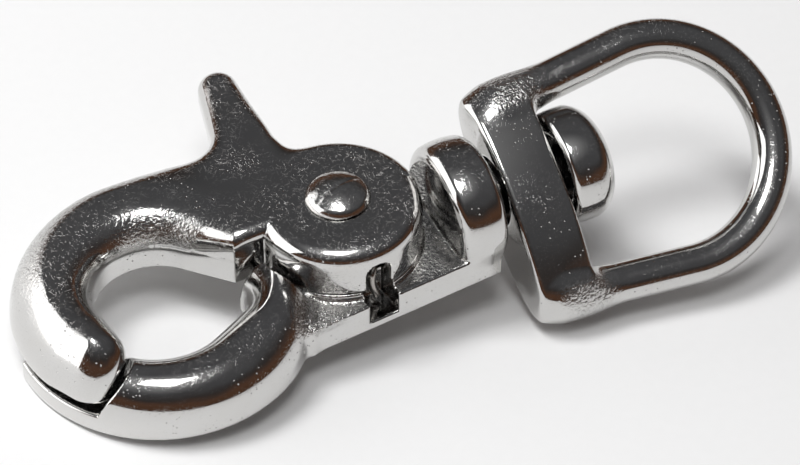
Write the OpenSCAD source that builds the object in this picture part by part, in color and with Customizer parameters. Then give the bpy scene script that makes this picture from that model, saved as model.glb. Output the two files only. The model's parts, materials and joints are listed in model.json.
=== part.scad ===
// Swivel snap hook, cast zinc, nickel plated. Millimetres.
// Every piece is drawn in the hook's own frame: the lever's pivot stands on Z = 0 at the back face,
// +X runs to the swivel and +Y to the thumb horn. resting() then lays the whole hook on a table.

/* [Hook ring] */
// Outer radius of the round hook
ring_r = 14.25; // [12:0.05:18]
// Distance from the lever's pivot to the ring's centre
ring_reach = 18.5; // [17.5:0.1:22.5]
// Radius of the hole through the hook
hole_r = 6.0; // [4.8:0.1:7.2]
// How far the hole's centre lies past the ring's centre
hole_past_x = 0.8; // [0:0.1:1.5]
// How far the hole's centre lies to the fixed jaw's side
hole_past_y = 0.8; // [0:0.1:1.5]
// Height of the fixed jaw above the back face
jaw_h = 5.9; // [4.9:0.1:7]
// Radius of the rounded upper edges of both jaws
jaw_round = 3.4; // [1.5:0.1:3.6]
// Thickness of the lip under the lever's tip
lip_t = 2.2; // [1.2:0.1:2.6]

/* [Body] */
// Thickness of the back plate
plate_t = 3.3; // [2.5:0.1:3.7]
// Height of the round pad that the lever turns on, above the plate
pad_h = 0.8; // [0.4:0.1:1.4]
// Distance from the pivot to the plate's straight edge
plate_side = 9.6; // [8.4:0.1:11.5]
// How much that edge draws in on its way to the neck
plate_taper = 1.5; // [0:0.1:2]
// Width of the notch for the spring's leg
notch_w = 3.1; // [2:0.1:3.6]

/* [Lever] */
// Radius of the lever's round boss
boss_r = 8.05; // [7.2:0.05:9.6]
// Height of the boss above its pad
boss_h = 5.0; // [4.2:0.1:6]
// Radius of the rounded edge of the boss
boss_round = 1.7; // [0.5:0.1:2]
// Height of the arm that closes the hook
arm_h = 6.0; // [4.8:0.1:6.2]
// Length of the thumb horn, from the pivot to its tip
horn_reach = 21.8; // [18.5:0.1:27]
// Width of the horn's rounded tip
horn_tip_w = 2.4; // [2:0.1:4]
// Width of the horn where it leaves the lever
horn_root_w = 6.4; // [5:0.1:7.6]
// Thickness of the horn
horn_t = 4.0; // [3:0.1:4.8]
// Width of the window that shows the spring
window_w = 2.6; // [1.8:0.1:3]

/* [Pivot rivet] */
// Radius of the rivet's shank
shank_r = 1.9; // [1.5:0.05:2.2]
// Radius of the rivet's head
rivet_head_r = 3.25; // [2.7:0.05:4]
// Height of the rivet's head above the lever
rivet_head_h = 1.5; // [1:0.1:2]

/* [Torsion spring] */
// Wire diameter
wire_d = 0.8; // [0.6:0.05:0.85]
// Radius of the coil's centre line
coil_r = 4.9; // [4.4:0.1:5.2]
// Number of turns
coil_turns = 3; // [2:1:3]

/* [Neck and swivel] */
// Radius of the neck's barrel
barrel_r = 6.6; // [5.6:0.1:7.8]
// Distance from the pivot to the barrel's first face
barrel_start = 9.3; // [9.2:0.1:11.2]
// Length of the barrel
barrel_len = 5.0; // [3.8:0.1:6.2]
// Radius of the stem that the swivel eye turns on
stem_r = 2.3; // [1.9:0.1:2.6]
// Radius of the button that keeps the eye on the stem
button_r = 5.75; // [5:0.05:6.4]
// Thickness of the button
button_t = 5.2; // [4.2:0.1:6.4]
// How far the swivel's axis lies to the fixed jaw's side of the pivot
axis_side = 2.0; // [0:0.1:2.4]
// Height of the swivel's axis above the back face
axis_h = 4.7; // [3.8:0.1:5.6]

/* [Swivel eye] */
// Thickness of the eye's collar along the swivel's axis
collar_t = 6.0; // [4.8:0.1:7.2]
// Length of the collar across the axis
collar_w = 23.6; // [22:0.1:26]
// Depth of the collar, square to the loop
collar_d = 8.2; // [7.8:0.1:9]
// Diameter of the loop's round wire
loop_d = 4.0; // [3.2:0.1:4.8]
// Width of the loop outside, at its widest
loop_w = 26.6; // [24.4:0.1:31]
// Length of the eye from the collar's first face to the end of the loop
eye_len = 31.5; // [27:0.1:37]
// Angle that the eye has rolled round the stem
eye_roll = 40; // [30:1:45]

/* [Clearances] */
// Radial clearance of the lever on its rivet
pivot_clear = 0.06; // [0.03:0.01:0.1]
// Gap under and over the lever's boss
boss_clear = 0.1; // [0.05:0.01:0.2]
// Gap between the lever and the edges of the body
lever_gap = 0.5; // [0.3:0.05:0.8]
// Radial clearance of the loose swivel eye on its stem
swivel_clear = 1.1; // [0.9:0.05:1.2]
// How far the loose eye has dropped in its bore
swivel_drop = 1.0; // [0:0.05:1.05]
// How far the bore stands off the collar's middle
bore_side = 1.1; // [0:0.1:1.4]
// Gap between the collar and the barrel
collar_gap = 1.2; // [0.3:0.1:1.4]
// Gap between the collar and the button
button_gap = 0.4; // [0.3:0.1:0.8]

/* [Hidden] */
$fn = 96;
eps = 0.01;
far = 60;

// Heights above the back face
pad_top = plate_t + pad_h;
lever_low = pad_top + boss_clear;
lever_top = lever_low + boss_h;
arm_low = lever_top - arm_h;

// Plan of the hook: ring, hole and the two ends that meet
ring_x = -ring_reach;
hole_x = ring_x - hole_past_x;
hole_y = -hole_past_y;
heel_out = 3.0;
heel_up = 0.15;
apex_r = boss_r + heel_out;
heel_y = hole_y + heel_up;
apex_x = -apex_r;
nose_turn = 212;
nose_r = 3.1;
nose_inset = 0.05;
nose_orbit = ring_r - nose_r - nose_inset;
nose_x = ring_x + nose_orbit * cos(nose_turn);
nose_y = nose_orbit * sin(nose_turn);
body_gap_r = boss_r + lever_gap;
hole_ease = 0.7;
arm_round = jaw_round * hole_ease;
lip_start = 174;

// Horn, boss and spring cup
horn_x = -2.8;
cup_wall = 1.5;
cup_r = boss_r - cup_wall;
coil_room = 0.6;
hub_r = coil_r - wire_d / 2 - coil_room;
cup_roof = 1.6;
window_turn = -87;
window_lintel = 0.3;
window_top = lever_top - boss_round - window_lintel;
notch_floor = 1.0;
notch_deep = 2.4;
notch_room = 0.3;
tail_flare = 0.8;
pad_inset = 0.2;
plate_rim = 0.3;
plate_corner = 0.9;

// Neck and swivel, along the swivel's axis
barrel_round = 0.9;
barrel_end = barrel_start + barrel_len;
collar_start = barrel_end + collar_gap;
collar_end = collar_start + collar_t;
button_start = collar_end + button_gap;
button_round = 1.6;

// Swivel eye, in its own plane with the stem's axis along X
bore_r = stem_r + swivel_clear;
wire_r = loop_d / 2;
bow_r = loop_w / 2 - wire_r;
eye_side = swivel_drop + bore_side;
leg_inset = 0.1;
leg_ease = 0.02;
leg_dip = 0.3;
bow_x = collar_start + eye_len - wire_r - bow_r;
leg_x = collar_start + collar_t / 2;
leg_y = collar_w / 2 - wire_r - leg_inset;
leg_away = norm([bow_x - leg_x, leg_y]);
leg_turn = atan2(leg_y, leg_x - bow_x) - acos(bow_r / leg_away);
leg_end = [bow_x + bow_r * cos(leg_turn), bow_r * sin(leg_turn)];

// Where the hook comes to rest: it lies on the ring's far edge and on the collar's lower end
collar_drop = (collar_w / 2 - collar_d / 2 + eye_side) * sin(eye_roll) + collar_d / 2 - axis_h;
rest_tilt = atan2(collar_drop, collar_start + ring_reach + ring_r);
rest_lift = (ring_reach + ring_r) * sin(rest_tilt);
rest_low_x = -(ring_reach + ring_r - jaw_round) * cos(rest_tilt)
    - (lever_top - jaw_round) * sin(rest_tilt) - jaw_round;
rest_high_x = (bow_x + bow_r) * cos(rest_tilt)
    - (axis_h - eye_side * sin(eye_roll)) * sin(rest_tilt) + wire_r;
rest_mid_x = (rest_low_x + rest_high_x) / 2;
rest_mid_y = (horn_reach - ring_r) / 2;

// Lays a piece in the hook's own frame down as it comes to rest on a table
module resting() {
    translate([-rest_mid_x, -rest_mid_y, rest_lift]) rotate([0, -rest_tilt, 0]) children();
}

// A solid disc whose upper edge is rounded
module rounded_disc(r, low, high, edge) {
    rotate_extrude() {
        translate([0, low]) square([r, high - edge - low]);
        translate([0, high - edge - eps]) square([r - edge, edge + eps]);
        intersection() {
            translate([r - edge, high - edge]) circle(edge);
            translate([0, high - edge - eps]) square([r, edge + eps]);
        }
    }
}

// The hole through the hook in plan: a circle that draws out to a point beside the boss
module hole_plan() {
    away = hole_x - apex_x;
    turn = acos(hole_r / abs(away));
    translate([hole_x, hole_y]) circle(hole_r);
    polygon([
        [hole_x, hole_y],
        [hole_x + hole_r * cos(turn), hole_y - hole_r * sin(turn)],
        [apex_x, hole_y],
        [hole_x + hole_r * cos(turn), hole_y + hole_r * sin(turn)]
    ]);
}

// Cuts the hook's hole, with its upper edge eased from height high downwards
module hole_cutter(high, edge) {
    translate([0, 0, -far / 2]) linear_extrude(far) hole_plan();
    translate([hole_x, hole_y, 0]) rotate_extrude() difference() {
        translate([0, high - edge]) square([hole_r + edge, edge + 1]);
        translate([hole_r + edge, high - edge]) circle(edge);
    }
}

// The ring in plan, from the heel beside the boss round to the angle turn
module ring_side(turn, gap) {
    polygon([
        [far, heel_y - gap],
        [hole_x, heel_y - gap],
        [hole_x + far * cos(turn), heel_y + far * sin(turn)],
        [-far, far],
        [far, far]
    ]);
}

// The lever's side of the ring in plan; the rest belongs to the fixed jaw
module lever_side(gap = 0) {
    ring_side(nose_turn, gap);
    translate([nose_x, nose_y]) circle(nose_r + gap);
}

// The fixed jaw: an arc of full height that runs on as a thin lip under the lever's tip
module jaw() {
    difference() {
        translate([ring_x, 0, 0]) rounded_disc(ring_r, 0, jaw_h, jaw_round);
        hole_cutter(jaw_h, jaw_round);
        translate([0, 0, lip_t]) linear_extrude(jaw_h) lever_side(lever_gap);
        translate([0, 0, -eps]) linear_extrude(jaw_h) ring_side(lip_start, lever_gap);
        translate([0, 0, plate_t]) cylinder(r = body_gap_r, h = jaw_h);
    }
}

// The back plate with the round pad that carries the lever
module plate() {
    linear_extrude(plate_t) union() {
        circle(boss_r + plate_rim);
        polygon([
            [-boss_r + plate_corner, -plate_side],
            [barrel_end - barrel_round, -plate_side + plate_taper],
            [barrel_end - barrel_round, barrel_r - axis_side],
            [0, boss_r + plate_rim],
            [-boss_r + plate_corner, 0]
        ]);
    }
    cylinder(r = boss_r - pad_inset, h = pad_top);
}

// Stands a turned piece, drawn along +Z, on the swivel's axis
module on_swivel_axis() {
    translate([0, -axis_side, axis_h]) rotate([0, 90, 0]) children();
}

// The neck's barrel, the stem and the button at its end
module swivel_stem() {
    on_swivel_axis() {
        translate([0, 0, barrel_start]) rotate_extrude() difference() {
            square([barrel_r, barrel_len]);
            corner(barrel_r, barrel_len, barrel_round);
        }
        translate([0, 0, barrel_end - 1]) cylinder(r = stem_r, h = button_start - barrel_end + 2);
        translate([0, 0, button_start]) rotate_extrude() difference() {
            square([button_r, button_t]);
            corner(button_r, button_t, button_round);
        }
    }
}

// What a rounded corner at (x, y) takes off a square profile
module corner(x, y, r) {
    difference() {
        translate([x - r, y - r]) square(r + 1);
        translate([x - r, y - r]) circle(r);
    }
}

// The notch in the plate's edge that holds the spring's leg
module spring_notch() {
    rotate([0, 0, window_turn]) translate([boss_r - notch_deep, -notch_w / 2, notch_floor])
        cube([far / 4, notch_w, plate_t + pad_h]);
}

module body() {
    color([0.78, 0.77, 0.75]) resting() difference() {
        union() {
            jaw();
            plate();
            swivel_stem();
        }
        translate([0, 0, -eps]) linear_extrude(far) hole_plan();
        spring_notch();
        translate([0, 0, -eps]) cylinder(r = shank_r, h = pad_top + 1);
        tail_seat();
    }
}

// The countersink at the back that the rivet's tail is spread into
module tail_seat() {
    translate([0, 0, -eps]) cylinder(r1 = shank_r + tail_flare + eps, r2 = shank_r, h = tail_flare + eps);
}

// The lever's arm: the rest of the ring, ending in a rounded nose over the lip
module arm() {
    intersection() {
        translate([ring_x, 0, 0]) rounded_disc(ring_r, arm_low, lever_top, jaw_round);
        linear_extrude(far) lever_side();
    }
}

// The thumb horn in plan, and the web that joins it to the arm and the boss
module horn_plan() {
    tip_r = horn_tip_w / 2;
    tip_y = horn_reach - tip_r;
    translate([horn_x, tip_y]) circle(tip_r);
    polygon([
        [horn_x - tip_r, tip_y],
        [horn_x - horn_root_w / 2 + 0.6, ring_r],
        [ring_x + ring_r * cos(48), ring_r * sin(48)],
        [ring_x + ring_r * 0.4, ring_r * 0.4],
        [0, 0],
        [0, boss_r],
        [horn_x + tip_r - 0.2, ring_r - 4],
        [horn_x + tip_r, tip_y]
    ]);
}

module lever() {
    color([0.72, 0.71, 0.70]) resting() difference() {
        union() {
            arm();
            rounded_disc(boss_r, lever_low, lever_top, boss_round);
            translate([0, 0, lever_top - horn_t]) linear_extrude(horn_t) horn_plan();
        }
        hole_cutter(lever_top, arm_round);
        translate([0, 0, arm_low - 1]) cylinder(r = body_gap_r, h = lever_low - arm_low + 1);
        translate([0, 0, -eps]) cylinder(r = shank_r + pivot_clear, h = lever_top + 1);
        spring_cup();
        spring_window();
    }
}

// The ring-shaped pocket under the lever that hides the spring
module spring_cup() {
    difference() {
        translate([0, 0, lever_low - eps]) cylinder(r = cup_r, h = boss_h - cup_roof);
        cylinder(r = hub_r, h = far);
    }
}

// The window in the boss's wall, over the notch in the plate
module spring_window() {
    rotate([0, 0, window_turn]) translate([hub_r + 1, -window_w / 2, lever_low - 1])
        cube([boss_r, window_w, window_top - lever_low + 1]);
}

module pivot_rivet() {
    dome = rivet_head_h * 0.45;
    brim = rivet_head_h - dome;
    sweep = (rivet_head_r * rivet_head_r + dome * dome) / (2 * dome);
    color([0.82, 0.81, 0.79]) resting() {
        cylinder(r = shank_r, h = lever_top + boss_clear + eps);
        cylinder(r1 = shank_r + tail_flare, r2 = shank_r, h = tail_flare);
        translate([0, 0, lever_top + boss_clear]) rotate_extrude() {
            square([rivet_head_r, brim]);
            intersection() {
                translate([0, brim + dome - sweep]) circle(sweep, $fn = 200);
                square([rivet_head_r, rivet_head_h]);
            }
        }
    }
}

// A closed tube through a list of points, wire_d thick
module wire(points) {
    sides = 8;
    count = len(points);
    function dir(i) = let (a = points[max(i - 1, 0)], b = points[min(i + 1, count - 1)])
        (b - a) / norm(b - a);
    function ring(i) = let (
            d = dir(i),
            side = cross(d, abs(d.z) > 0.9 ? [1, 0, 0] : [0, 0, 1]),
            u = side / norm(side),
            v = cross(d, u)
        ) [for (k = [0:sides - 1]) let (a = 360 * k / sides)
            points[i] + wire_d / 2 * (u * cos(a) + v * sin(a))];
    polyhedron(
        points = [for (i = [0:count - 1]) each ring(i)],
        faces = [
            [for (k = [0:sides - 1]) k],
            for (i = [0:count - 2]) for (k = [0:sides - 1]) let (n = (k + 1) % sides)
                [i * sides + n, i * sides + k, (i + 1) * sides + k, (i + 1) * sides + n],
            [for (k = [0:sides - 1]) count * sides - 1 - k]
        ]
    );
}

module torsion_spring() {
    steps = 20;
    lead = 14;
    pitch = wire_d * 1.03;
    low = lever_low + wire_d / 2 + boss_clear;
    leg_r = boss_r - notch_deep + wire_d / 2 + notch_room;
    color([0.55, 0.54, 0.52]) resting() rotate([0, 0, window_turn]) wire([
        [leg_r, 0, notch_floor + wire_d],
        [leg_r, 0, low],
        for (i = [0:steps * coil_turns]) let (a = lead + 360 * i / steps)
            [coil_r * cos(a), coil_r * sin(a), low + pitch * i / steps]
    ]);
}

// The loop's wire: a bow with a straight leg on each side that runs into the collar
module loop() {
    translate([bow_x, 0, 0]) rotate([0, 0, -leg_turn]) rotate_extrude(angle = 2 * leg_turn)
        translate([bow_r, 0]) circle(wire_r);
    for (side = [0, 1]) mirror([0, side, 0]) {
        run = leg_end - [leg_x, leg_y];
        translate([leg_x, leg_y, 0]) rotate([0, 90, atan2(run.y, run.x)])
            cylinder(r = wire_r - leg_ease, h = norm(run) + leg_dip);
    }
}

// The collar: a block with round ends across the swivel's axis
module collar() {
    end_y = (collar_w - collar_d) / 2;
    translate([collar_start, 0, 0]) rotate([90, 0, 90]) linear_extrude(collar_t) union() {
        square([2 * end_y, collar_d], center = true);
        for (side = [-1, 1]) translate([side * end_y, 0]) circle(collar_d / 2);
    }
}

module swivel_eye() {
    color([0.75, 0.74, 0.73]) resting() translate([0, -axis_side, axis_h])
        rotate([eye_roll, 0, 0]) difference() {
            translate([0, -eye_side, 0]) union() {
                collar();
                loop();
            }
            translate([collar_start - 1, -swivel_drop, 0]) rotate([0, 90, 0])
                cylinder(r = bore_r, h = collar_t + 2);
        }
}

body();
lever();
pivot_rivet();
torsion_spring();
swivel_eye();
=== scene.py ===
# %% [markdown]
# # A swivel snap hook
# The real hook is cast in zinc, plated with bright nickel and rubbed by years of use.
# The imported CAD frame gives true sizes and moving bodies, but its edges are as crisp as a drawing's.
# Here each casting is shaped again as a distance field, whose edges flow into each other as in a mould.
# In a few places it differs from the CAD part inside the same box: softer corners, an arm 0.2 mm lower
# underneath and legs that flare into the collar.

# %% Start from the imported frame
import json
import math

import bpy
import numpy as np
from mathutils import Matrix, Vector


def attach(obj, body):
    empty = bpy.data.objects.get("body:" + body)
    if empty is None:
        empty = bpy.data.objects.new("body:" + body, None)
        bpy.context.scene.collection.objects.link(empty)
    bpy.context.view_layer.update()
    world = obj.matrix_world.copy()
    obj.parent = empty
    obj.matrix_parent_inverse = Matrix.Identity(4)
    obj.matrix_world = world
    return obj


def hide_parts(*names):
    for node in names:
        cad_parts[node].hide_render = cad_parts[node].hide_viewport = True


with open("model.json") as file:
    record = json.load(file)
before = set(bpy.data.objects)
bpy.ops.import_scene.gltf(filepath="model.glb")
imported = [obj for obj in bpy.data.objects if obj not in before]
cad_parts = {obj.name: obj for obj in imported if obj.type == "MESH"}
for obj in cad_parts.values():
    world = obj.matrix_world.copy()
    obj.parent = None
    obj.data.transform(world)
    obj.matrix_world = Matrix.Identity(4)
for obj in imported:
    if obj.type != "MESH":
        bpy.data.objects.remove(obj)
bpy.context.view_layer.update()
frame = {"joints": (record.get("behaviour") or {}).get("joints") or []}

# %% [markdown]
# ## The hook's own frame
# The hook lies tilted on the table. It is easier to shape in its own frame, in millimetres, where the
# lever's pivot is a vertical line through the origin and the swivel's stem runs along X.
# The two joints of the record give that frame exactly, so nothing has to be measured by eye.

# %% Find the hook's frame from its joints
MM = 0.001
joints = {j["name"]: j for j in frame["joints"]}
PIVOT_JOINT_Z = 6.0
up = Vector(joints["lever_hinge"]["axis"]).normalized()
along = Vector(joints["swivel_spin"]["axis"]).normalized()
side = up.cross(along).normalized()
origin = Vector(joints["lever_hinge"]["pos_m"]) - up * PIVOT_JOINT_Z * MM
hook_axes = np.array([along, side, up]).T
hook_origin = np.array(origin)
print("hook frame at", [round(v, 5) for v in origin], "tilt", round(math.degrees(math.asin(along.z)), 2))


def to_table(points):
    """Points in the hook's frame, in millimetres, as points on the table, in metres."""
    return np.asarray(points) * MM @ hook_axes.T + hook_origin


# %% The sizes that the CAD part was drawn with
RING = (-18.5, 0.0)
RING_R = 14.25
HOLE = (-19.3, -0.8)
HOLE_R = 6.0
HOLE_APEX_X = -11.05
JAW_TOP = 5.9
LIP_TOP = 2.2
PLATE_TOP = 3.3
PAD_TOP = 4.1
LEVER_LOW = 4.2
LEVER_TOP = 9.2
ARM_LOW = 3.2
BOSS_R = 8.05
HEEL_Y = -0.65
NOSE_TURN = math.radians(212)
NOSE_R = 3.1
NOSE = (RING[0] + 11.1 * math.cos(NOSE_TURN), 11.1 * math.sin(NOSE_TURN))
LEVER_GAP = 0.5
WINDOW_TURN = math.radians(-87)
WINDOW_HALF = 1.3
WINDOW_INNER = 5.0
WINDOW_SPRING_LINE = 5.9
NOTCH_HALF = 1.55
NOTCH_DEEP = 2.4
NOTCH_FLOOR = 1.0
CUP_WALL = 1.5
CUP_TOP = 7.6
HUB_R = 3.9
PIVOT_BORE_R = 1.96
RIVET_R = 1.88
RIVET_HEAD_R = 3.25
RIVET_TOP = 10.8
RIVET_CROWN_R = 5.0
STEM_Y = -2.0
STEM_Z = 4.7
BARREL = (9.3, 14.3, 6.6)
COLLAR = (15.5, 21.5)
BUTTON = (21.9, 27.1, 5.75)
STEM_R = 2.3
BORE_R = 3.4
EYE_ROLL = math.radians(40)
EYE_SIDE = 2.1
BOW = (33.7, 11.3)
LEG = (18.5, 9.7)
WIRE_R = 2.0
print("ring", RING_R, "boss", BOSS_R, "bow", BOW)

# %% [markdown]
# ## Shaping with distances
# A distance field says how far each point in space is from a surface, negative inside.
# Two shapes join with the smaller distance and cut with the larger one. If the two are mixed with a
# radius, the seam becomes a fillet, which is just how a casting's corners look.
# Modelling these flowing corners by hand from polygons would be slow and would show in the reflections.


# %% Rounded joins and cuts
def join(a, b, r):
    """Both shapes, with a fillet of radius r between them."""
    return np.maximum(r, np.minimum(a, b)) - np.hypot(np.maximum(r - a, 0), np.maximum(r - b, 0))


def keep(a, b, r):
    """What the two shapes share, with its edges rounded to radius r."""
    return np.minimum(-r, np.maximum(a, b)) + np.hypot(np.maximum(r + a, 0), np.maximum(r + b, 0))


def cut(a, b, r):
    """The first shape without the second, with the new edges rounded to radius r."""
    return keep(a, -b, r)


def ease(t):
    """From 0 to 1 with a soft start and end."""
    t = np.clip(t, 0, 1)
    return t * t * (3 - 2 * t)


# %% Flat outlines and solids
def disc(x, y, centre, r):
    return np.hypot(x - centre[0], y - centre[1]) - r


def taper(x, y, a, ra, b, rb):
    """The outline of a string pulled round two circles."""
    ux, uy = b[0] - a[0], b[1] - a[1]
    h = math.hypot(ux, uy)
    ux, uy = ux / h, uy / h
    px, py = x - a[0], y - a[1]
    s = px * ux + py * uy
    t = np.abs(py * ux - px * uy)
    lean = (ra - rb) / h
    rise = math.sqrt(1 - lean * lean)
    k = -lean * t + rise * s
    straight = rise * t + lean * s - ra
    far = np.where(k > rise * h, np.hypot(s - h, t) - rb, straight)
    return np.where(k < 0, np.hypot(s, t) - ra, far)


def outline(x, y, points):
    """The distance to a closed polygon."""
    n = len(points)
    best = None
    inside = None
    for i in range(n):
        (ax, ay), (bx, by) = points[i], points[(i + 1) % n]
        ex, ey = bx - ax, by - ay
        wx, wy = x - ax, y - ay
        t = np.clip((wx * ex + wy * ey) / (ex * ex + ey * ey), 0, 1)
        d = np.hypot(wx - t * ex, wy - t * ey)
        left_of = wx * ey < ex * wy if by > ay else wx * ey > ex * wy
        crosses = ((ay > y) != (by > y)) & left_of
        best = d if best is None else np.minimum(best, d)
        inside = crosses if inside is None else inside ^ crosses
    return np.where(inside, -best, best)


def slab(d, z, low, high, r_low, r_high, sag=0):
    """An outline given height, with its lower and upper edges rounded and its top sagging to the edges."""
    return np.maximum(keep(d, z + sag - high, r_high), keep(d, low - z, r_low))


print("shaping tools ready")

# %% [markdown]
# ## From a field to a mesh
# Surface nets put one vertex in every small cell that the surface crosses and join neighbours with
# quads. A few Newton steps then slide each vertex exactly onto the surface, because a mirror finish
# shows an error of a hundredth of a millimetre. The field's slope also gives perfect normals.


# %% Turn a distance field into a mesh
def net(field, low, high, cell):
    """Vertices and quads of the field's zero surface in a box."""
    axes = [np.arange(a - cell, b + 2 * cell, cell) for a, b in zip(low, high)]
    gx, gy, gz = (axes[0][:, None, None], axes[1][None, :, None], axes[2][None, None, :])
    v = np.broadcast_to(field(gx, gy, gz), [len(a) for a in axes]).astype(np.float32)
    solid = v < 0
    shape = [n - 1 for n in v.shape]
    total = np.zeros(shape + [3], np.float32)
    count = np.zeros(shape, np.float32)
    edges = []
    for axis in range(3):
        first = [slice(None)] * 3
        second = [slice(None)] * 3
        first[axis] = slice(0, -1)
        second[axis] = slice(1, None)
        a, b = v[tuple(first)], v[tuple(second)]
        crossing = solid[tuple(first)] != solid[tuple(second)]
        i, j, k = np.nonzero(crossing)
        t = a[i, j, k] / (a[i, j, k] - b[i, j, k])
        place = np.stack([i, j, k], 1).astype(np.float32)
        place[:, axis] += t
        edges.append((np.stack([i, j, k], 1), solid[tuple(first)][i, j, k]))
        others = [n for n in range(3) if n != axis]
        for da in (0, 1):
            for db in (0, 1):
                c = np.stack([i, j, k], 1)
                c[:, others[0]] -= da
                c[:, others[1]] -= db
                ok = np.all((c >= 0) & (c < shape), 1)
                where = tuple(c[ok].T)
                np.add.at(total, where, place[ok])
                np.add.at(count, where, 1)
    number = np.full(shape, -1, np.int64)
    active = count > 0
    number[active] = np.arange(active.sum())
    start = np.array([a[0] for a in axes])
    points = total[active] / count[active][:, None] * cell + start
    quads = []
    for axis, (base, flip) in enumerate(edges):
        b, c = (axis + 1) % 3, (axis + 2) % 3
        ring = []
        for db, dc in ((0, 0), (1, 0), (1, 1), (0, 1)):
            cell_at = base.copy()
            cell_at[:, b] -= db
            cell_at[:, c] -= dc
            ring.append(number[tuple(cell_at.T)])
        q = np.stack(ring, 1)
        quads.append(np.where(flip[:, None], q, q[:, ::-1]))
    quads = np.concatenate(quads)
    assert quads.min() >= 0, "the surface leaves its box"
    return points.astype(np.float64), quads


def slope(field, p, step=0.02):
    """The field's direction of growth at each point."""
    g = np.empty_like(p)
    for axis in range(3):
        a, b = p.copy(), p.copy()
        a[:, axis] -= step
        b[:, axis] += step
        g[:, axis] = field(*b.T) - field(*a.T)
    return g / (2 * step)


def cast_mesh(name, field, low, high, cell, marks=None):
    """A smooth mesh of a distance field, laid on the table, with its exact normals and its marks."""
    points, quads = net(field, low, high, cell)
    for _ in range(4):
        g = slope(field, points)
        size = np.maximum((g * g).sum(1), 0.2)
        step = (field(*points.T) / size)[:, None] * g
        length = np.linalg.norm(step, axis=1, keepdims=True)
        points -= step * np.minimum(1, 0.6 * cell / np.maximum(length, 1e-9))
    normals = slope(field, points)
    normals /= np.maximum(np.linalg.norm(normals, axis=1, keepdims=True), 1e-9)
    mesh = bpy.data.meshes.new(name)
    mesh.from_pydata(to_table(points).tolist(), [], quads.tolist())
    mesh.polygons.foreach_set("use_smooth", [True] * len(quads))
    mesh.normals_split_custom_set_from_vertices((normals @ hook_axes.T).tolist())
    for mark, value in (marks(points, normals) if marks else {}).items():
        layer = mesh.attributes.new(mark, "FLOAT", "POINT")
        layer.data.foreach_set("value", np.asarray(value, np.float32))
    obj = bpy.data.objects.new(name, mesh)
    bpy.context.scene.collection.objects.link(obj)
    print(name, "vertices", len(points), "quads", len(quads))
    return obj


# %% [markdown]
# ## The round hook's outlines
# The lever and the fixed jaw close one ring between them, so both are cut from the same outlines.
# The hole is a circle that draws out to a point beside the boss.


# %% Outlines that the lever and the jaw share
def ring_outline(x, y):
    return disc(x, y, RING, RING_R)


def hole_outline(x, y):
    point = taper(x, y, HOLE, HOLE_R, (HOLE_APEX_X - 0.2, HOLE[1]), 0.2)
    corner = taper(x, y, HOLE, HOLE_R, (HOLE_APEX_X - 2.6, HOLE[1] - 1.2), 2.6)
    return np.minimum(point, corner)


def beyond(x, y, turn, gap):
    """How far a point lies past a line from the hole's middle at an angle, and past the heel's edge."""
    line = (y - HEEL_Y) * math.cos(turn) - (x - HOLE[0]) * math.sin(turn) - gap
    return np.where(x < HOLE[0], line, HEEL_Y - gap - y)


def lever_side(x, y):
    """The lever's share of the ring, drawn out to a round nose."""
    finger = taper(x, y, (-28.95, -1.85), 3.95, NOSE, NOSE_R)
    return np.where(x < HOLE[0], join(beyond(x, y, math.radians(188), 0), finger, 0.8), HEEL_Y - y)


def jaw_side(x, y):
    """What the fixed jaw leaves free for the lever: a step hollowed round the nose."""
    step = beyond(x, y, math.radians(209), LEVER_GAP)
    return np.where(x < HOLE[0], join(step, disc(x, y, NOSE, NOSE_R + LEVER_GAP), 1.0), step)


def crest(x, y, fade):
    """How much lower the ring's top lies towards its two edges, like a bead."""
    off = (hole_outline(x, y) + ring_outline(x, y)) / 2
    return np.minimum(off * off / 15.0, 1.6) * fade


def edge_radius(x, y, inner, outer):
    """How round the upper edge is: inner beside the hole, outer at the ring's outside."""
    w = 0.5 + (hole_outline(x, y) + ring_outline(x, y)) / 9.6
    return inner + (outer - inner) * ease(w)


def window_frame(x, y):
    """How far a point lies out towards the window, and across it."""
    out = x * math.cos(WINDOW_TURN) + y * math.sin(WINDOW_TURN)
    across = -x * math.sin(WINDOW_TURN) + y * math.cos(WINDOW_TURN)
    return out, across


for probe in ((-30, 4), (-14, -9), (-19, 12)):
    print(probe, "on the lever's side:", bool(lever_side(*probe) < 0))

# %% [markdown]
# ## The lever
# One casting: a fat arm that closes the ring, a boss round the rivet, and a thumb horn.
# The arm's outer shoulder is rounder than its inner one, and the horn grows out of both in soft fillets.


# %% Shape the lever
def horn_outline(x, y):
    """The horn and the ring in one outline, with wide fillets at the horn's foot."""
    horn = taper(x, y, (-4.6, 10.5), 3.1, (-3.35, 19.8), 1.98)
    return join(join(ring_outline(x, y), horn, 4.0), disc(x, y, (0, 0), BOSS_R), 3.2)


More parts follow.
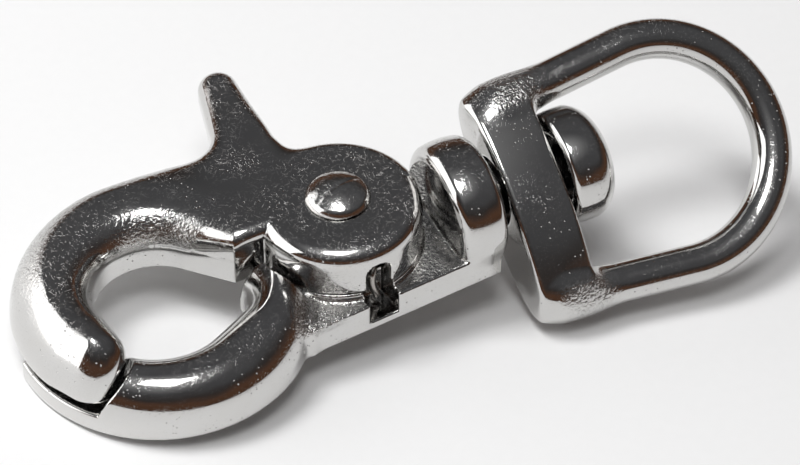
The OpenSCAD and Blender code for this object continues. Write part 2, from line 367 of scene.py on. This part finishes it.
def lever_field(x, y, z):
    hole = hole_outline(x, y)
    turned_side = np.maximum(-hole, lever_side(x, y))
    tip = np.hypot(x - NOSE[0], y - NOSE[1])
    under = 0.45 + 0.35 * ease((5.0 - tip) / 4.0)
    rounding = edge_radius(x, y, 2.8, 4.9)
    sag = crest(x, y, 1 - ease((x + 15) / 8.0))
    arm_outline = np.maximum(ring_outline(x, y), turned_side)
    arm = slab(arm_outline, z, ARM_LOW - 0.2, LEVER_TOP, under, rounding, sag)
    rounding = rounding + (1.3 - rounding) * ease((x + 18.5) / 9.5)
    rounding = rounding + (1.7 - rounding) * ease((y - 12.0) / 5.0)
    upper = slab(np.maximum(horn_outline(x, y), turned_side), z, 5.2, LEVER_TOP, 1.3, rounding, sag)
    boss = disc(x, y, (0, 0), BOSS_R)
    shape = np.minimum(np.minimum(arm, upper), slab(boss, z, LEVER_LOW, LEVER_TOP, 0.25, 1.7))
    shape = cut(shape, np.maximum(boss - LEVER_GAP, z - LEVER_LOW), 0.2)
    cup = np.maximum(disc(x, y, (0, 0), BOSS_R - CUP_WALL), z - CUP_TOP)
    cup = np.maximum(cup, -disc(x, y, (0, 0), HUB_R))
    out, across = window_frame(x, y)
    above = z - WINDOW_SPRING_LINE
    arch = np.where(above > 0, np.hypot(across, above), np.abs(across)) - WINDOW_HALF
    window = np.maximum(arch, WINDOW_INNER - out)
    shape = cut(shape, np.minimum(cup, window), 0.22)
    return cut(shape, disc(x, y, (0, 0), PIVOT_BORE_R), 0.2)


def lever_marks(p, n):
    """Where the casting is left rough: the arm's outer shoulder and its inner edge beside the hole."""
    x, y, z = p.T
    turned = np.degrees(np.arctan2(y, x - RING[0])) % 360
    shoulder = ease((np.hypot(x - RING[0], y) - 9.6) / 2.6) * ease((z - 4.6) / 2.0)
    far_left = ease((turned - 60) / 30) * ease((178 - turned) / 30)
    inner = ease((3.2 - hole_outline(x, y)) / 2.0) * ease((z - 5.5) / 1.5) * ease((turned - 20) / 20)
    inner = inner * ease((130 - turned) / 40)
    rough = np.clip(shoulder * far_left + 0.6 * inner, 0, 1)
    return {"rough_cast": rough, "top": 1.5 * ease((n[:, 2] - 0.55) * 4)}


lever = cast_mesh("lever_casting", lever_field, (-33, -13.4, 2.2), (8.5, 22.2, 9.6), 0.24, lever_marks)
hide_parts("lever")
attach(lever, "lever")

# %% [markdown]
# ## The body
# The second casting holds everything: the fixed jaw with its thin lip, the back plate with its pad,
# and the neck with a barrel, a stem and the button that keeps the swivel eye on.


# %% Shape the body
def around_stem(y, z):
    return np.hypot(y - STEM_Y, z - STEM_Z)


def body_field(x, y, z):
    ring = ring_outline(x, y)
    hole = hole_outline(x, y)
    rounding = edge_radius(x, y, 3.5, 3.3)
    jaw = slab(np.maximum(ring, -hole), z, 0, JAW_TOP, 0.35, rounding, crest(x, y, 1.0))
    above_lip = np.maximum(jaw_side(x, y), LIP_TOP - z)
    jaw = cut(jaw, above_lip, 0.3)
    jaw = cut(jaw, beyond(x, y, math.radians(174), LEVER_GAP), 0.3)
    jaw = cut(jaw, np.maximum(disc(x, y, (0, 0), BOSS_R + LEVER_GAP), PLATE_TOP - z), 0.3)
    plate = outline(x, y, [(-7.15, -9.6), (13.4, -8.1), (13.4, 4.6), (0.0, 8.35), (-7.15, 0.0)])
    plate = np.minimum(plate, disc(x, y, (0, 0), BOSS_R + 0.3))
    plate = slab(plate, z, 0, PLATE_TOP, 0.3, 0.3)
    pad = slab(disc(x, y, (0, 0), BOSS_R + 0.05), z, 1, PAD_TOP, 0.1, 0.3)
    shape = join(np.maximum(join(jaw, plate, 1.5), -z), pad, 0.2)
    radial = around_stem(y, z)
    barrel = slab(radial - BARREL[2] + (x - 11.9) ** 2 / 16, x, BARREL[0], BARREL[1], 0.9, 1.0)
    shape = join(shape, barrel, 0.3)
    stem = np.maximum(radial - STEM_R, np.abs(x - 18) - 6)
    crown = np.hypot(radial, x - (BUTTON[1] - 26.0)) - 26.0
    wall = radial - BUTTON[2] + (x - 24.0) ** 2 / 20
    button = np.maximum(keep(wall, crown, 1.8), keep(wall, BUTTON[0] - x, 0.5))
    shape = join(shape, join(stem, button, 0.3), 0.4)
    shape = cut(shape, hole, 0.3)
    out, across = window_frame(x, y)
    notch = np.maximum(np.abs(across) - NOTCH_HALF, BOSS_R - NOTCH_DEEP - out)
    notch = np.maximum(notch, NOTCH_FLOOR - z)
    shape = cut(shape, notch, 0.18)
    tail = np.maximum(disc(x, y, (0, 0), 1.9), z - 9)
    return cut(shape, tail, 0.1)


def body_marks(p, n):
    """Where the casting is left rough: the plate's corner and the top of the plate."""
    x, y, z = p.T
    corner = ease((4.0 - np.hypot(x + 6.2, y + 9.0)) / 3.0) * ease((z - 2.2) / 1.0)
    plate = ease((z - 2.9) / 0.3) * ease((4.2 - z) / 0.6) * ease((x + 8) / 1.0) * 0.18
    return {"rough_cast": np.clip(corner + plate, 0, 1), "top": 0.7 * ease((n[:, 2] - 0.7) * 5)}


body = cast_mesh("body_casting", body_field, (-33, -14.5, -2.1), (27.3, 8.6, 11.5), 0.25, body_marks)
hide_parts("body")
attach(body, "hook")

# %% [markdown]
# ## The swivel eye
# A round wire bent to a D, cast together with a collar that turns on the stem.
# Its plane has rolled round the stem, so the field is written in the eye's own turned frame.


# %% Shape the swivel eye
def bow_line(x, v):
    """The distance in the eye's plane to the wire's centre line."""
    v = np.abs(v)
    reach = math.hypot(BOW[0] - LEG[0], LEG[1])
    turn = math.atan2(LEG[1], LEG[0] - BOW[0]) - math.acos(BOW[1] / reach)
    end = (BOW[0] + BOW[1] * math.cos(turn), BOW[1] * math.sin(turn))
    arc = np.abs(np.hypot(x - BOW[0], v) - BOW[1])
    ex, ev = LEG[0] - end[0], LEG[1] - end[1]
    t = np.clip(((x - end[0]) * ex + (v - end[1]) * ev) / (ex * ex + ev * ev), 0, 1)
    leg = np.hypot(x - end[0] - t * ex, v - end[1] - t * ev)
    on_arc = np.arctan2(v, x - BOW[0]) <= turn
    return np.where(on_arc, arc, leg)


def eye_frame(y, z):
    cy, cz = y - STEM_Y, z - STEM_Z
    v = cy * math.cos(EYE_ROLL) + cz * math.sin(EYE_ROLL)
    w = cz * math.cos(EYE_ROLL) - cy * math.sin(EYE_ROLL)
    return v, w


def eye_field(x, y, z):
    v, w = eye_frame(y, z)
    across = v + EYE_SIDE
    flare = 0.55 * ease((25.0 - x) / 6.0)
    wire = np.hypot(bow_line(x, across), w) - WIRE_R - flare
    crown = np.hypot(across, np.abs(w) + 25.9) - 30.0 + (x - 18.5) ** 2 / 110
    collar = slab(keep(crown, np.abs(across) - 11.8, 3.4), x, COLLAR[0], COLLAR[1], 0.55, 0.5)
    shape = join(collar, wire, 1.4)
    bore = np.maximum(np.hypot(v, w) - BORE_R, x - COLLAR[1] - 2)
    return cut(shape, bore, 0.5)


def eye_marks(p, n):
    """Rough cast skin where the legs run into the collar."""
    v, w = eye_frame(p[:, 1], p[:, 2])
    across = v + EYE_SIDE
    near = ease((4.0 - np.abs(p[:, 0] - 20.5)) / 3.0) * ease((np.abs(across) - 8.0) / 2.0)
    return {"rough_cast": np.clip(near, 0, 1), "top": 0.7 * ease((n[:, 2] - 0.7) * 5)}


eye = cast_mesh("swivel_eye_casting", eye_field, (15, -16.5, -7), (47.4, 8.5, 17), 0.25, eye_marks)
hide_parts("swivel_eye")
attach(eye, "eye")


# %% [markdown]
# ## The pivot rivet
# A turned pin whose head was spread with one blow, which left a low dome and a faint crease.


# %% Shape the rivet
def rivet_field(x, y, z):
    r = np.hypot(x, y)
    crease = 0.07 * np.exp(-((y * 0.97 - x * 0.24) / 0.22) ** 2) * ease((2.9 - r) / 0.8)
    crown = np.hypot(r, z - (RIVET_TOP - RIVET_CROWN_R)) - RIVET_CROWN_R + crease
    rim = r - RIVET_HEAD_R
    head = np.maximum(keep(rim, crown, 0.6), keep(rim, 9.3 - z, 0.15))
    shank = np.maximum(r - RIVET_R, np.maximum(0.05 - z, z - 9.6))
    tail = np.maximum(r - RIVET_R - np.maximum(0.8 - z, 0), np.maximum(0.05 - z, z - 1.2))
    return np.minimum(np.minimum(head, shank), tail)


def rivet_marks(p, n):
    return {"rough_cast": 0.15 * ease((p[:, 2] - 9.5) / 0.5), "top": 0.7 * ease((n[:, 2] - 0.7) * 5)}


rivet = cast_mesh("rivet_turned", rivet_field, (-3.4, -3.4, 0), (3.4, 3.4, 10.9), 0.12, rivet_marks)
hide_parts("pivot_rivet")
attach(rivet, "hook")

# %% [markdown]
# ## The torsion spring
# Drawn wire is the same thickness all along, so a curve with a round bevel is the natural tool.


# %% Wind the spring
COIL_R = 4.9
SPRING_WIRE = 0.8
spring_path = [(6.6, 0.5, 1.7), (6.5, 0.15, 2.4), (6.35, 0.0, 3.4), (6.2, 0.2, 4.3), (5.7, 0.7, 4.65)]
for i in range(0, 73):
    a = math.radians(14 + i * 15)
    spring_path.append((COIL_R * math.cos(a), COIL_R * math.sin(a), 4.72 + 0.824 * i / 24))
cos_turn = math.cos(WINDOW_TURN)
sin_turn = math.sin(WINDOW_TURN)
turned = [(px * cos_turn - py * sin_turn, px * sin_turn + py * cos_turn, pz) for px, py, pz in spring_path]
curve = bpy.data.curves.new("torsion_spring_wire", "CURVE")
curve.dimensions = "3D"
spline = curve.splines.new("NURBS")
spline.points.add(len(turned) - 1)
for point, place in zip(spline.points, to_table(turned)):
    point.co = (*place, 1)
spline.order_u = 4
spline.use_endpoint_u = True
spline.resolution_u = 3
curve.bevel_depth = SPRING_WIRE / 2 * MM
curve.bevel_resolution = 4
curve.use_fill_caps = True
bent = bpy.data.objects.new("bent_wire", curve)
bpy.context.scene.collection.objects.link(bent)
depsgraph = bpy.context.evaluated_depsgraph_get()
wire_mesh = bpy.data.meshes.new_from_object(bent.evaluated_get(depsgraph))
bpy.data.objects.remove(bent)
wire_mesh.shade_smooth()
spring = bpy.data.objects.new("torsion_spring_wire", wire_mesh)
bpy.context.scene.collection.objects.link(spring)
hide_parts("torsion_spring")
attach(spring, "hook")
print("spring points", len(turned), "faces", len(wire_mesh.polygons))

# %% [markdown]
# ## Finishes
# Bright nickel is almost a mirror. What makes it look real is what breaks the mirror: hair scratches,
# pits left by the mould, and rough patches that polishing never reached. Each is a node group with
# named sockets, so the castings and the rivet can share them with their own values.


# %% A helper for node trees
def put(tree, kind, links=None, **settings):
    """Adds a node, sets its properties and inputs, and links what is given."""
    node = tree.nodes.new(kind)
    for key, value in settings.items():
        if key.startswith("in_"):
            node.inputs[int(key[3:])].default_value = value
        else:
            setattr(node, key, value)
    for key, source in (links or {}).items():
        tree.links.new(source, node.inputs[key])
    return node


def calc(tree, operation, *values):
    """A math node whose inputs are numbers or sockets, and its result."""
    node = tree.nodes.new("ShaderNodeMath")
    node.operation = operation
    for slot, value in zip(node.inputs, values):
        if isinstance(value, bpy.types.NodeSocket):
            tree.links.new(value, slot)
        else:
            slot.default_value = value
    return node.outputs[0]


def group(name, inputs, outputs):
    """An empty node group with named sockets, and its inner input and output nodes."""
    tree = bpy.data.node_groups.new(name, "ShaderNodeTree")
    for label, kind, value in inputs:
        socket = tree.interface.new_socket(label, in_out="INPUT", socket_type=kind)
        if value is not None:
            socket.default_value = value
    for label, kind in outputs:
        tree.interface.new_socket(label, in_out="OUTPUT", socket_type=kind)
    return tree, tree.nodes.new("NodeGroupInput"), tree.nodes.new("NodeGroupOutput")


FLOAT = "NodeSocketFloat"
VECTOR = "NodeSocketVector"

# %% The scratch group
scratches, given, out = group(
    "Hair scratches",
    [("Place", VECTOR, None), ("Scale", FLOAT, 1.0), ("Amount", FLOAT, 0.5)],
    [("Mask", FLOAT)],
)
total = None
for turn, seed in ((0.3, 0.0), (0.9, 7.0), (1.5, 13.0), (2.1, 29.0), (2.7, 41.0)):
    turned_place = put(scratches, "ShaderNodeMapping", {0: given.outputs["Place"]}, vector_type="TEXTURE")
    turned_place.inputs[1].default_value = (seed, seed, 0)
    turned_place.inputs[2].default_value = (0.25 * turn, 0.2, turn)
    turned_place.inputs[3].default_value = (3.6, 0.30, 0.6)
    scaled = put(
        scratches,
        "ShaderNodeVectorMath",
        {0: turned_place.outputs[0], 3: given.outputs["Scale"]},
        operation="SCALE",
    )
    noise = put(scratches, "ShaderNodeTexNoise", {0: scaled.outputs[0]}, noise_dimensions="3D")
    noise.inputs["Scale"].default_value = 3000.0
    noise.inputs["Detail"].default_value = 1.0
    thin = put(scratches, "ShaderNodeMapRange", {0: noise.outputs[0]}, in_1=0.67, in_2=0.75)
    total = thin.outputs[0] if total is None else calc(scratches, "MAXIMUM", total, thin.outputs[0])
patchy = put(scratches, "ShaderNodeTexNoise", {0: given.outputs["Place"]})
patchy.inputs["Scale"].default_value = 160.0
some = put(scratches, "ShaderNodeMapRange", {0: patchy.outputs[0]}, in_1=0.32, in_2=0.66)
masked = calc(scratches, "MULTIPLY", total, some.outputs[0])
scratches.links.new(calc(scratches, "MULTIPLY", masked, given.outputs["Amount"]), out.inputs["Mask"])
print(scratches.name, "nodes", len(scratches.nodes))

# %% The pit group
pits, given, out = group(
    "Mould pits",
    [("Place", VECTOR, None), ("Spacing per metre", FLOAT, 3300.0), ("Share", FLOAT, 0.2)],
    [("Mask", FLOAT)],
)
cells = put(pits, "ShaderNodeTexVoronoi", {0: given.outputs["Place"], 2: given.outputs["Spacing per metre"]})
spot = put(pits, "ShaderNodeMapRange", {0: cells.outputs["Distance"]}, in_1=0.30, in_2=0.08)
chance = put(pits, "ShaderNodeSeparateColor", {0: cells.outputs["Color"]})
crowd = put(pits, "ShaderNodeTexNoise", {0: given.outputs["Place"]})
crowd.inputs["Scale"].default_value = 330.0
crowded = put(pits, "ShaderNodeMapRange", {0: crowd.outputs[0]}, in_1=0.48, in_2=0.72)
local_share = calc(pits, "MULTIPLY", given.outputs["Share"], crowded.outputs[0])
chosen = calc(pits, "LESS_THAN", chance.outputs[0], local_share)
pits.links.new(calc(pits, "MULTIPLY", spot.outputs[0], chosen), out.inputs["Mask"])
print(pits.name, "nodes", len(pits.nodes))

# %% The cast skin group
skin, given, out = group(
    "Cast skin",
    [("Place", VECTOR, None), ("Grain per metre", FLOAT, 3000.0), ("Rough patch", FLOAT, 0.0)],
    [("Height", FLOAT), ("Dullness", FLOAT)],
)
grain = put(skin, "ShaderNodeTexNoise", {0: given.outputs["Place"], 2: given.outputs["Grain per metre"]})
grain.inputs["Detail"].default_value = 3.0
height = calc(skin, "MULTIPLY", grain.outputs[0], given.outputs["Rough patch"])
skin.links.new(height, out.inputs["Height"])
dull = put(skin, "ShaderNodeMapRange", {0: grain.outputs[0]}, in_1=0.4, in_2=0.65)
dullness = calc(skin, "MULTIPLY", dull.outputs[0], given.outputs["Rough patch"])
skin.links.new(dullness, out.inputs["Dullness"])
print(skin.name, "nodes", len(skin.nodes))


# %% Bright nickel
def nickel(name, colour, shine, scratch_amount, pit_share, skin_height):
    """A polished plate: mirror metal with scratches, pits and rough cast patches."""
    mat = bpy.data.materials.new(name)
    mat.use_nodes = True
    tree = mat.node_tree
    shader = tree.nodes["Principled BSDF"]
    place = put(tree, "ShaderNodeTexCoord").outputs["Object"]
    patch = put(tree, "ShaderNodeAttribute", attribute_name="rough_cast").outputs["Fac"]
    top = put(tree, "ShaderNodeAttribute", attribute_name="top").outputs["Fac"]
    hair = put(tree, "ShaderNodeGroup", node_tree=scratches)
    tree.links.new(place, hair.inputs["Place"])
    wear = calc(tree, "MULTIPLY_ADD", top, 0.7 * scratch_amount, 0.45 * scratch_amount)
    tree.links.new(wear, hair.inputs["Amount"])
    pit_node = put(tree, "ShaderNodeGroup", node_tree=pits)
    tree.links.new(place, pit_node.inputs["Place"])
    pit_node.inputs["Share"].default_value = pit_share
    skin_node = put(tree, "ShaderNodeGroup", node_tree=skin)
    tree.links.new(place, skin_node.inputs["Place"])
    tree.links.new(patch, skin_node.inputs["Rough patch"])
    haze = put(tree, "ShaderNodeTexNoise", {0: place})
    haze.inputs["Scale"].default_value = 420.0
    haze.inputs["Detail"].default_value = 4.0
    base = put(tree, "ShaderNodeMapRange", {0: haze.outputs[0]}, in_1=0.35, in_2=0.7)
    base.inputs["To Min"].default_value = shine
    base.inputs["To Max"].default_value = shine + 0.04
    mottle = put(tree, "ShaderNodeMapRange", {0: haze.outputs[0]}, in_1=0.38, in_2=0.66, in_3=0.0, in_4=0.07)
    worn = calc(tree, "MULTIPLY_ADD", top, mottle.outputs[0], base.outputs[0])
    with_hair = calc(tree, "MULTIPLY_ADD", hair.outputs["Mask"], 0.10, worn)
    with_skin = calc(tree, "MULTIPLY_ADD", skin_node.outputs["Dullness"], 0.12, with_hair)
    tree.links.new(with_skin, shader.inputs["Roughness"])
    bare = calc(tree, "MULTIPLY_ADD", hair.outputs["Mask"], -0.30, 1.0)
    bare_skin = calc(tree, "MULTIPLY_ADD", skin_node.outputs["Dullness"], -0.12, bare)
    tree.links.new(bare_skin, shader.inputs["Metallic"])
    tint = put(tree, "ShaderNodeMix", {0: haze.outputs[0]}, data_type="RGBA")
    tint.inputs[6].default_value = (*colour, 1)
    tint.inputs[7].default_value = (colour[0] * 0.96, colour[1] * 0.95, colour[2] * 0.93, 1)
    dark = put(tree, "ShaderNodeMix", {0: pit_node.outputs["Mask"], 6: tint.outputs[2]}, data_type="RGBA")
    dark.inputs[7].default_value = (*[c * 0.8 for c in colour], 1)
    tree.links.new(dark.outputs[2], shader.inputs["Base Color"])
    low = calc(tree, "MULTIPLY", pit_node.outputs["Mask"], -1.1)
    lines = calc(tree, "MULTIPLY_ADD", hair.outputs["Mask"], -0.17, low)
    relief = calc(tree, "MULTIPLY_ADD", skin_node.outputs["Height"], skin_height, lines)
    wave = put(tree, "ShaderNodeTexNoise", {0: place})
    wave.inputs["Scale"].default_value = 260.0
    all_relief = calc(tree, "MULTIPLY_ADD", wave.outputs[0], 0.12, relief)
    bump = put(tree, "ShaderNodeBump", {"Height": all_relief})
    bump.inputs["Strength"].default_value = 1.0
    bump.inputs["Distance"].default_value = 0.00006
    tree.links.new(bump.outputs[0], shader.inputs["Normal"])
    print(name, "nodes", len(tree.nodes))
    return mat


plate_finish = nickel("bright_nickel", (0.64, 0.638, 0.632), 0.05, 0.85, 0.32, 3.8)
rivet_finish = nickel("nickel_rivet", (0.68, 0.678, 0.672), 0.08, 0.8, 0.15, 2.6)
wire_finish = nickel("spring_steel", (0.42, 0.40, 0.38), 0.22, 0.3, 0.02, 0.5)
for obj, finish in ((lever, plate_finish), (body, plate_finish), (eye, plate_finish), (rivet, rivet_finish)):
    obj.data.materials.append(finish)
spring.data.materials.clear()
spring.data.materials.append(wire_finish)

# %% [markdown]
# ## The table, the light and the camera
# Mirror metal is a picture of its surroundings, so the room is part of the finish. There is a pale
# table, a dark room above it, one soft box overhead and a bright wall to the left. A third lamp fills
# the shadows on the table and is left out of reflections.

# %% The pale table
table_mesh = bpy.data.meshes.new("table")
half = 0.7
corners = [(-half, -half, 0), (half, -half, 0), (half, half, 0), (-half, half, 0)]
table_mesh.from_pydata(corners, [], [(0, 1, 2, 3)])
table = bpy.data.objects.new("table", table_mesh)
bpy.context.scene.collection.objects.link(table)
table_finish = bpy.data.materials.new("white_board")
table_finish.use_nodes = True
tree = table_finish.node_tree
paper = put(tree, "ShaderNodeTexNoise", {0: put(tree, "ShaderNodeTexCoord").outputs["Object"]})
paper.inputs["Scale"].default_value = 900.0
paper_tone = put(tree, "ShaderNodeMapRange", {0: paper.outputs[0]}, in_3=0.84, in_4=0.86)
table_shader = tree.nodes["Principled BSDF"]
tone = put(tree, "ShaderNodeCombineColor", {channel: paper_tone.outputs[0] for channel in range(3)})
tree.links.new(tone.outputs[0], table_shader.inputs["Base Color"])
table_shader.inputs["Roughness"].default_value = 0.7
table_mesh.materials.append(table_finish)
print("table", 2 * half, "m wide")

# %% The dark room
world = bpy.data.worlds.new("room")
bpy.context.scene.world = world
world.use_nodes = True
room = world.node_tree
looking = put(room, "ShaderNodeTexCoord").outputs["Generated"]
height_of = put(room, "ShaderNodeSeparateXYZ", {0: looking})
clutter = put(room, "ShaderNodeTexNoise", {0: looking})
clutter.inputs["Scale"].default_value = 3.2
clutter.inputs["Detail"].default_value = 3.0
height_mixed = calc(room, "MULTIPLY_ADD", clutter.outputs[0], 0.34, height_of.outputs[2])
ramp = put(room, "ShaderNodeValToRGB", {0: height_mixed})
ramp.color_ramp.elements[0].position = 0.0
ramp.color_ramp.elements[0].color = (0.050, 0.028, 0.018, 1)
ramp.color_ramp.elements[1].position = 1.0
ramp.color_ramp.elements[1].color = (0.080, 0.080, 0.084, 1)
ROOM_STOPS = (
    (0.36, (0.100, 0.050, 0.030)),
    (0.56, (0.038, 0.033, 0.031)),
    (0.8, (0.067, 0.067, 0.070)),
)
for position, colour in ROOM_STOPS:
    stop = ramp.color_ramp.elements.new(position)
    stop.color = (*colour, 1)
LAMP_AT = (-0.12, -0.22, 0.94)
lamp_way = Vector(hook_axes @ np.array(LAMP_AT)).normalized()
facing = put(room, "ShaderNodeVectorMath", {0: looking}, operation="DOT_PRODUCT", in_1=lamp_way)
near_lamp = put(room, "ShaderNodeMapRange", {0: facing.outputs["Value"]}, in_1=0.80, in_2=1.0)
glow = calc(room, "POWER", near_lamp.outputs[0], 2.0)
glow_light = calc(room, "MULTIPLY", glow, 0.30)
lit_room = put(room, "ShaderNodeVectorMath", {0: ramp.outputs[0], 1: glow_light}, operation="ADD")
room.links.new(lit_room.outputs[0], room.nodes["Background"].inputs["Color"])
room.nodes["Background"].inputs["Strength"].default_value = 1.0
print("room nodes", len(room.nodes))


# %% Soft boxes
def soft_box(name, towards, distance, width, height, power, mirrored=True):
    """A rectangular lamp in a direction given in the hook's frame, facing the hook."""
    lamp = bpy.data.lights.new(name, "AREA")
    lamp.shape = "RECTANGLE"
    lamp.size = width
    lamp.size_y = height
    lamp.energy = power
    obj = bpy.data.objects.new(name, lamp)
    bpy.context.scene.collection.objects.link(obj)
    direction = hook_axes @ np.array(towards, float)
    direction = Vector(direction / np.linalg.norm(direction))
    obj.location = direction * distance
    obj.rotation_euler = direction.to_track_quat("Z", "Y").to_euler()
    obj.visible_glossy = mirrored
    print(name, power, "W", "mirrored" if mirrored else "not mirrored")


soft_box("overhead_box", LAMP_AT, 0.75, 0.24, 0.24, 1.6)
soft_box("left_wall", (-0.78, 0.40, 0.44), 0.60, 0.80, 0.46, 2.3)
soft_box("ceiling_fill", (-0.26, 0.20, 0.94), 0.80, 0.27, 0.27, 4.2, mirrored=False)

# %% The camera, in millimetres from the pivot
bpy.context.scene.view_settings.view_transform = "Standard"
THETA = math.radians(26.7)
RISE = math.radians(45.8)
SENSOR = 36.0
LENS = 166.95
AWAY = 350.0
AIM_RIGHT = 5.8774
AIM_DOWN = 3.3491
right = np.array([math.cos(THETA), -math.sin(THETA), 0])
upward = np.array([math.sin(THETA) * math.sin(RISE), math.cos(THETA) * math.sin(RISE), math.cos(RISE)])
back = np.array([-math.sin(THETA) * math.cos(RISE), -math.cos(THETA) * math.cos(RISE), math.sin(RISE)])
eye_point = np.array([0, 0, LEVER_TOP]) + back * AWAY + right * AIM_RIGHT - upward * AIM_DOWN
camera_data = bpy.data.cameras.new("camera")
camera_data.sensor_width = SENSOR
camera_data.lens = LENS
camera_data.clip_start = 0.01
camera = bpy.data.objects.new("camera", camera_data)
bpy.context.scene.collection.objects.link(camera)
turn_to = Matrix((hook_axes @ np.stack([right, upward, back], 1)).tolist()).to_4x4()
camera.matrix_world = Matrix.Translation(to_table(eye_point)) @ turn_to
bpy.context.scene.camera = camera
print("camera at", [round(v, 4) for v in camera.location])
